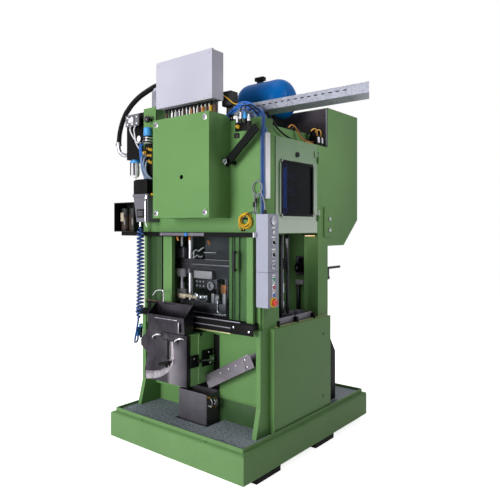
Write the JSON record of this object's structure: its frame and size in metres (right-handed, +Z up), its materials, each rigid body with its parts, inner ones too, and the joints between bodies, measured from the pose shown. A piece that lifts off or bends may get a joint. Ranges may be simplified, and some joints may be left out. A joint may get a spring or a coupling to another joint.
{
  "type": "mechanical compacting press",
  "caption": "Floor-standing mechanical press with a guarded tool space, flywheel housing, control pendant, hopper, chute and oil tray.",
  "frame": {"origin": "on the floor under the middle of the oil tray", "axes": "+X to the right along the front, +Y to the back, +Z up"},
  "size_m": [2.187, 1.58, 2.762],
  "materials": {
    "green_paint": "satin",
    "floor_paint": "matte",
    "pad_rubber": "matte",
    "bright_steel": "satin",
    "stainless": "brushed",
    "dark_steel": "satin",
    "cast": "matte",
    "bronze": "satin",
    "grey_paint": "satin",
    "black_paint": "satin",
    "blue_paint": "gloss",
    "black_plastic": "matte",
    "white_plastic": "matte",
    "blue_plastic": "satin",
    "belt_rubber": "matte",
    "dark_glass": "gloss",
    "clear_sheet": "gloss",
    "green_cap": "gloss",
    "red_cap": "gloss",
    "blue_cap": "gloss"
  },
  "bodies": {
    "press": {"base_tray": "green_paint", "floor_plate": "floor_paint", "floor_pads": "pad_rubber", "lower_frame": "green_paint", "lower_panels": "green_paint", "cover_screws": "bright_steel", "columns": "green_paint", "head_frame": "green_paint", "front_cover": "green_paint", "flywheel_guard": "green_paint", "terminal_box": "grey_paint", "terminal_lid": "grey_paint", "gland_cables": "black_plastic", "cable_tray": "bright_steel", "tray_strut": "black_paint", "air_tank": "blue_paint", "shaft_bearings": "bronze", "motor": "cast", "drive_belt": "belt_rubber", "guide_pillars": "bright_steel", "die_plate": "dark_steel", "guard_rails": "black_paint", "pendant_box": "grey_paint", "pendant_fittings": "black_plastic", "cable_duct": "white_plastic", "hopper": "stainless", "hopper_housing": "green_paint", "chute": "stainless", "collecting_bin": "stainless", "valve_cabinet": "black_plastic", "air_service_unit": "blue_plastic", "lube_pump": "grey_paint", "reservoir_box": "black_plastic", "clutch_valve": "black_paint", "cable_runs": "black_plastic", "coil_hose": "blue_plastic", "blow_gun": "blue_plastic"},
    "shaft": {"main_shaft": "bright_steel", "flywheel": "cast"},
    "rod": {"conrod": "dark_steel"},
    "pulley": {"motor_pulley": "dark_steel"},
    "ram": {"ram": "bright_steel", "upper_tool": "dark_steel"},
    "guard": {"guard_door": "green_paint", "guard_pane": "clear_sheet"},
    "window": {"window_door": "green_paint", "window_pane": "dark_glass"},
    "lock": {"door_lock": "black_plastic"},
    "selector_1": {"selector_upper": "black_plastic"},
    "selector_2": {"selector_lower": "black_plastic"},
    "key": {"key_switch": "bright_steel"},
    "green": {"button_green": "green_cap"},
    "red": {"button_red": "red_cap"},
    "blue": {"button_blue": "blue_cap"},
    "stop": {"estop_button": "red_cap"},
    "regulator": {"regulator_knob": "blue_plastic"},
    "shutoff": {"shutoff_knob": "black_plastic"},
    "latch_lever": {"latch": "black_plastic"},
    "trigger": {"blow_trigger": "black_plastic"},
    "crank": {"rear_handle": "black_plastic"}
  },
  "joints": [
    {"name": "shaft_turn", "type": "hinge", "parent": "press", "child": "shaft", "pos_m": [0.045, 0, 1.885], "axis": [0, 1, 0], "continuous": true},
    {"name": "rod_turn", "type": "hinge", "parent": "shaft", "child": "rod", "pos_m": [0.045, -0.19, 1.925], "axis": [0, 1, 0], "continuous": true},
    {"name": "pulley_turn", "type": "hinge", "parent": "press", "child": "pulley", "pos_m": [-0.25, 0.525, 2.35], "axis": [0, 1, 0], "continuous": true},
    {"name": "ram_slide", "type": "slide", "parent": "press", "child": "ram", "axis": [0, 0, 1], "range_m": [-0.08, 0]},
    {"name": "guard_slide", "type": "slide", "parent": "press", "child": "guard", "axis": [-1, 0, 0], "range_m": [0, 0.55]},
    {"name": "window_hinge", "type": "hinge", "parent": "press", "child": "window", "pos_m": [0.562, 0.15, 1.83], "axis": [0, 0, 1], "range_deg": [0, 110]},
    {"name": "lock_turn", "type": "hinge", "parent": "window", "child": "lock", "pos_m": [0.555, -0.123, 2.053], "axis": [1, 0, 0], "range_deg": [0, 90]},
    {"name": "selector_1_turn", "type": "hinge", "parent": "press", "child": "selector_1", "pos_m": [0.62, -0.489, 1.458], "axis": [1, 0, 0], "range_deg": [-45, 45]},
    {"name": "selector_2_turn", "type": "hinge", "parent": "press", "child": "selector_2", "pos_m": [0.62, -0.489, 1.381], "axis": [1, 0, 0], "range_deg": [-45, 45]},
    {"name": "key_turn", "type": "hinge", "parent": "press", "child": "key", "pos_m": [0.62, -0.489, 1.309], "axis": [1, 0, 0], "range_deg": [0, 90]},
    {"name": "green_push", "type": "slide", "parent": "press", "child": "green", "axis": [-1, 0, 0], "range_m": [0, 0.004], "stiffness_N_per_m": 600},
    {"name": "red_push", "type": "slide", "parent": "press", "child": "red", "axis": [-1, 0, 0], "range_m": [0, 0.004], "stiffness_N_per_m": 600},
    {"name": "blue_push", "type": "slide", "parent": "press", "child": "blue", "axis": [-1, 0, 0], "range_m": [0, 0.004], "stiffness_N_per_m": 600},
    {"name": "stop_push", "type": "slide", "parent": "press", "child": "stop", "axis": [-1, 0, 0], "range_m": [0, 0.006], "stiffness_N_per_m": 900},
    {"name": "regulator_turn", "type": "hinge", "parent": "press", "child": "regulator", "pos_m": [-0.5, -0.55, 2.27], "axis": [0, 0, 1], "range_deg": [-360, 360]},
    {"name": "shutoff_turn", "type": "hinge", "parent": "press", "child": "shutoff", "pos_m": [-0.488, -0.55, 2.36], "axis": [0, 1, 0], "range_deg": [0, 90]},
    {"name": "latch_turn", "type": "hinge", "parent": "press", "child": "latch_lever", "pos_m": [0.082, -0.46, 0.64], "axis": [1, 0, 0], "range_deg": [-80, 0]},
    {"name": "trigger_turn", "type": "hinge", "parent": "press", "child": "trigger", "pos_m": [-0.634, -0.512, 0.772], "axis": [1, 0, 0], "range_deg": [-10, 0], "stiffness_Nm_per_rad": 0.3},
    {"name": "crank_turn", "type": "hinge", "parent": "press", "child": "crank", "pos_m": [0.49, 0.31, 1.165], "axis": [0, 1, 0], "continuous": true}
  ],
  "couplings": [
    {"joint": "rod_turn", "follows": "shaft_turn", "ratio": -1},
    {"joint": "pulley_turn", "follows": "shaft_turn", "ratio": 5.3413}
  ]
}
